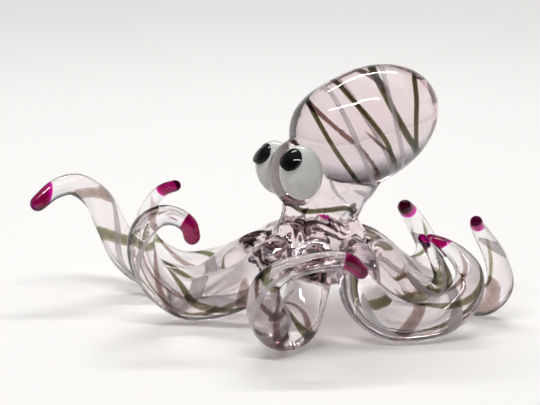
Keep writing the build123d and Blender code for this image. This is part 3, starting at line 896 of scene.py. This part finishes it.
def larger_of(tree, first, second):
    """The larger of two outputs, ray by ray."""
    larger = tree.nodes.new("ShaderNodeMath")
    larger.operation = "MAXIMUM"
    tree.links.new(first, larger.inputs[0])
    tree.links.new(second, larger.inputs[1])
    return larger.outputs[0]


def seen_share(tree):
    """1 for rays that come from the camera, a reflection or glass, and 0 for other light."""
    path = tree.nodes.new("ShaderNodeLightPath")
    seen = larger_of(tree, path.outputs["Is Camera Ray"], path.outputs["Is Glossy Ray"])
    return larger_of(tree, seen, path.outputs["Is Transmission Ray"])


floor_material, floor_shader = new_material(
    "paper",
    Base_Color=PAPER_COLOUR,
    Roughness=0.9,
    IOR=1.3,
    Emission_Color=PAPER_GLOW_COLOUR,
)
bpy.ops.mesh.primitive_plane_add(size=FLOOR_SIZE, location=(0, 0, -FLOOR_DROP))
floor = bpy.context.active_object
floor.name = "floor"
floor.data.materials.append(floor_material)

# The paper glows a little where it is seen, and more so far off: painted light that brightens the
# far, flat paper
paper = floor_material.node_tree
paper_places = paper.nodes.new("ShaderNodeTexCoord")
distance = paper.nodes.new("ShaderNodeVectorMath")
distance.operation = "LENGTH"
glow = paper.nodes.new("ShaderNodeMapRange")
glow.interpolation_type = "SMOOTHSTEP"
glow.inputs["From Min"].default_value = GLOW_START
glow.inputs["From Max"].default_value = GLOW_END
glow.inputs["To Min"].default_value = FLOOR_GLOW
glow.inputs["To Max"].default_value = FAR_FLOOR_GLOW
paper.links.new(paper_places.outputs["Object"], distance.inputs[0])
paper.links.new(distance.outputs["Value"], glow.inputs["Value"])
seen_glow = paper.nodes.new("ShaderNodeMath")
seen_glow.operation = "MULTIPLY"
paper.links.new(glow.outputs["Result"], seen_glow.inputs[0])
paper.links.new(seen_share(paper), seen_glow.inputs[1])
paper.links.new(seen_glow.outputs[0], floor_shader.inputs["Emission Strength"])


def softbox(name, place, target, length, width, power):
    """A rectangular lamp that faces a target."""
    lamp = bpy.data.lights.new(name, "AREA")
    lamp.shape = "RECTANGLE"
    lamp.size = length
    lamp.size_y = width
    lamp.energy = power
    box = bpy.data.objects.new(name, lamp)
    bpy.context.scene.collection.objects.link(box)
    box.location = place
    box.rotation_mode = "QUATERNION"
    box.rotation_quaternion = (target - place).to_track_quat("-Z", "Y")


FIGURE_MIDDLE = Vector((0, 0, 25)) * MM
TUBE_LENGTH = 520 * MM
TUBE_WIDTH = 30 * MM
TUBE_POWER = 1.8
NEAR_TUBE_PLACE = Vector((-60, -230, 600)) * MM
FAR_TUBE_PLACE = Vector((-10, 410, 600)) * MM
WINDOW_PLACE = Vector((200, 280, 800)) * MM
WINDOW_TARGET = Vector((0, 200, 0)) * MM
WINDOW_LENGTH = 700 * MM
WINDOW_WIDTH = 500 * MM
WINDOW_POWER = 1.0
softbox("near tube", NEAR_TUBE_PLACE, FIGURE_MIDDLE, TUBE_LENGTH, TUBE_WIDTH, TUBE_POWER)
softbox("far tube", FAR_TUBE_PLACE, FIGURE_MIDDLE, TUBE_LENGTH, TUBE_WIDTH, TUBE_POWER)
softbox("window", WINDOW_PLACE, WINDOW_TARGET, WINDOW_LENGTH, WINDOW_WIDTH, WINDOW_POWER)

# The world is pale low down and dark higher up, with a bright backdrop on the far side and a
# dim room on the near one. The camera sees it at full strength, and light in glass at no less
# than a set share.
SKY_FOOT_COLOUR = (0.86, 0.85, 0.82, 1)
SKY_TOP_COLOUR = (0.38, 0.38, 0.39, 1)
SKY_GREYS = ((0.20, 0.85), (0.38, 0.38), (0.58, 0.05))
ROOM_SHARE = 0.12
ROOM_GLASS_SHARE = 0.30
ROOM_START = -0.4
BACKDROP_START = 0.55
world = bpy.data.worlds.new("studio")
bpy.context.scene.world = world
world.use_nodes = True
sky = world.node_tree
background = sky.nodes["Background"]
coordinates = sky.nodes.new("ShaderNodeTexCoord")
height = sky.nodes.new("ShaderNodeSeparateXYZ")
ramp = sky.nodes.new("ShaderNodeValToRGB")
ramp.color_ramp.elements[0].position = 0.0
ramp.color_ramp.elements[0].color = SKY_FOOT_COLOUR
ramp.color_ramp.elements[1].position = 1.0
ramp.color_ramp.elements[1].color = SKY_TOP_COLOUR
for position, grey in SKY_GREYS:
    element = ramp.color_ramp.elements.new(position)
    element.color = (grey, grey, grey, 1)
sky.links.new(coordinates.outputs["Generated"], height.inputs["Vector"])
sky.links.new(height.outputs["Z"], ramp.inputs["Fac"])
sky.links.new(ramp.outputs["Color"], background.inputs["Color"])
room = sky.nodes.new("ShaderNodeMapRange")
room.inputs["From Min"].default_value = ROOM_START
room.inputs["From Max"].default_value = BACKDROP_START
room.inputs["To Min"].default_value = ROOM_SHARE
room.inputs["To Max"].default_value = 1
sky_path = sky.nodes.new("ShaderNodeLightPath")
in_glass = sky.nodes.new("ShaderNodeMath")
in_glass.operation = "MULTIPLY"
in_glass.inputs[1].default_value = ROOM_GLASS_SHARE
sky.links.new(sky_path.outputs["Is Transmission Ray"], in_glass.inputs[0])
sky.links.new(height.outputs["Y"], room.inputs["Value"])
strength = larger_of(sky, room.outputs["Result"], in_glass.outputs[0])
strength = larger_of(sky, strength, sky_path.outputs["Is Camera Ray"])
sky.links.new(strength, background.inputs["Strength"])

# The camera looks from where the photo was taken. The hub's foot is at this pixel of the photo,
# and a metre there is this many pixels long.
PHOTO_SIZE = (540, 405)
HUB_PIXEL = (318, 316)
PHOTO_SCALE = 4830.0
CAMERA_DISTANCE = 300 * MM
CAMERA_ELEVATION = 13.0
CAMERA_NEAR_LIMIT = 10 * MM
SENSOR_WIDTH = 36.0
GLASS_BOUNCES = 24
GLOSSY_BOUNCES = 8
elevation = math.radians(CAMERA_ELEVATION)
forward = Vector((0, math.cos(elevation), -math.sin(elevation)))
upward = Vector((0, math.sin(elevation), math.cos(elevation)))
right_step = (HUB_PIXEL[0] - PHOTO_SIZE[0] / 2) / PHOTO_SCALE
up_step = (PHOTO_SIZE[1] / 2 - HUB_PIXEL[1]) / PHOTO_SCALE
camera_data = bpy.data.cameras.new("camera")
camera = bpy.data.objects.new("camera", camera_data)
bpy.context.scene.collection.objects.link(camera)
camera.location = HUB_FOOT - forward * CAMERA_DISTANCE - Vector((right_step, 0, 0))
camera.location -= upward * up_step
camera.rotation_mode = "QUATERNION"
camera.rotation_quaternion = forward.to_track_quat("-Z", "Y")
camera_data.sensor_width = SENSOR_WIDTH
camera_data.lens = SENSOR_WIDTH * PHOTO_SCALE * CAMERA_DISTANCE / PHOTO_SIZE[0]
camera_data.clip_start = CAMERA_NEAR_LIMIT
bpy.context.scene.camera = camera

bpy.context.scene.view_settings.view_transform = "Standard"
cycles = bpy.context.scene.cycles
cycles.max_bounces = GLASS_BOUNCES
cycles.transmission_bounces = GLASS_BOUNCES
cycles.glossy_bounces = GLOSSY_BOUNCES
cycles.transparent_max_bounces = GLASS_BOUNCES
cycles.use_denoising = True
